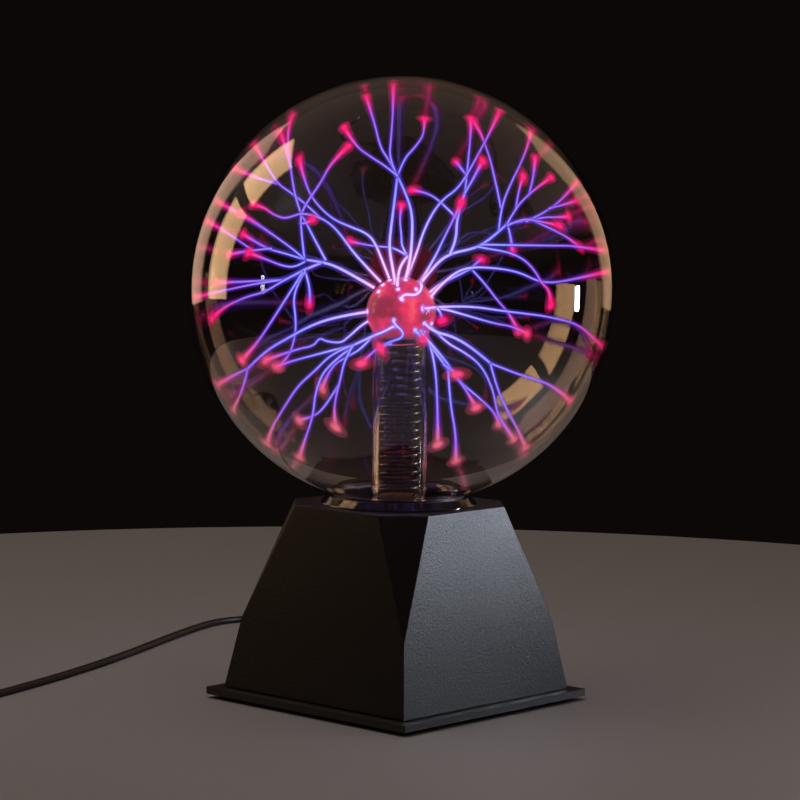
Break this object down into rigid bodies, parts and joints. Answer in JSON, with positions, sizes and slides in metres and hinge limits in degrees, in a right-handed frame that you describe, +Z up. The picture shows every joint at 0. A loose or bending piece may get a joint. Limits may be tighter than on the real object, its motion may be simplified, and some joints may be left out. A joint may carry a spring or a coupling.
{
  "type": "plasma ball",
  "caption": "Gas-filled glass globe with a central electrode bulb on a sloping square base, with rear controls and a plug-in power lead.",
  "frame": {"origin": "middle of the base's footprint, on the surface that the feet stand on", "axes": "+Z up, +Y to the rear, where the controls and the power lead are, +X to the object's right seen from its front"},
  "size_m": [0.3756, 0.3666, 0.2977],
  "materials": {
    "globe_glass": "clear blown glass, polished",
    "stem_glass": "clear glass tube",
    "electrode_wool": "fine conducting wool, glowing pink-red",
    "discharge": "glowing violet streamers with pink ends",
    "spring_steel": "black oxide wire",
    "brass": "turned",
    "silicone": "matt silicone rubber",
    "red_silicone": "silicone wire insulation",
    "collar_plastic": "high-gloss black",
    "casing_plastic": "black with a fine moulded grain and a satin sheen",
    "plate_plastic": "black, fine grain",
    "foot_rubber": "matt black rubber",
    "seal_rubber": "matt black rubber",
    "screw_steel": "zinc plated",
    "board_laminate": "green solder mask",
    "ferrite": "ground grey ferrite",
    "potting": "black potting resin",
    "aluminium": "extruded",
    "component_plastic": "moulded epoxy",
    "wire_insulation": "thin PVC insulation",
    "jack_plastic": "black moulding",
    "nickel": "nickel plated",
    "control_plastic": "satin black",
    "lead_rubber": "glossy black PVC",
    "tie_plastic": "black nylon",
    "adapter_plastic": "black, fine grain"
  },
  "bodies": {
    "base": {"glass_globe": "globe_glass", "electrode_stem": "stem_glass", "exhaust_pip": "stem_glass", "electrode_wool": "electrode_wool", "contact_spring": "spring_steel", "spring_terminal": "brass", "stem_stopper": "silicone", "high_voltage_lead": "red_silicone", "globe_collar": "collar_plastic", "globe_seal": "seal_rubber", "collar_nut": "casing_plastic", "base_shell": "casing_plastic", "bottom_plate": "plate_plastic", "base_screws": "screw_steel", "rubber_feet": "foot_rubber", "circuit_board": "board_laminate", "board_screws": "screw_steel", "flyback_core": "ferrite", "flyback_winding": "potting", "heat_sink": "aluminium", "power_transistor": "component_plastic", "transistor_screw": "screw_steel", "capacitors": "component_plastic", "control_chip": "component_plastic", "choke": "ferrite", "resistors": "component_plastic", "power_jack": "jack_plastic", "jack_nut": "nickel", "jack_wires": "wire_insulation", "plug_barrel": "nickel", "plug_body": "lead_rubber", "switch_body": "nickel", "switch_screws": "screw_steel", "switch_wires": "wire_insulation", "control_body": "nickel", "control_nut": "nickel", "control_wires": "wire_insulation", "microphone": "aluminium", "microphone_sleeve": "seal_rubber", "microphone_wires": "wire_insulation", "cord_run": "lead_rubber", "cord_coil": "lead_rubber", "cord_tail": "lead_rubber", "cord_tie": "tie_plastic", "adapter_case": "adapter_plastic", "adapter_relief": "lead_rubber", "adapter_blades": "nickel"},
    "slider": {"switch_slider": "control_plastic"},
    "knob": {"level_knob": "control_plastic", "control_shaft": "aluminium"}
  },
  "joints": [
    {"name": "switch_slide", "type": "slide", "parent": "base", "child": "slider", "axis": [1, 0, 0], "range_m": [-0.0025, 0.0025]},
    {"name": "level_turn", "type": "hinge", "parent": "base", "child": "knob", "pos_m": [0.028, 0.05558, 0.022], "axis": [0, 0.9861, 0.1664], "range_deg": [-140, 140]}
  ]
}
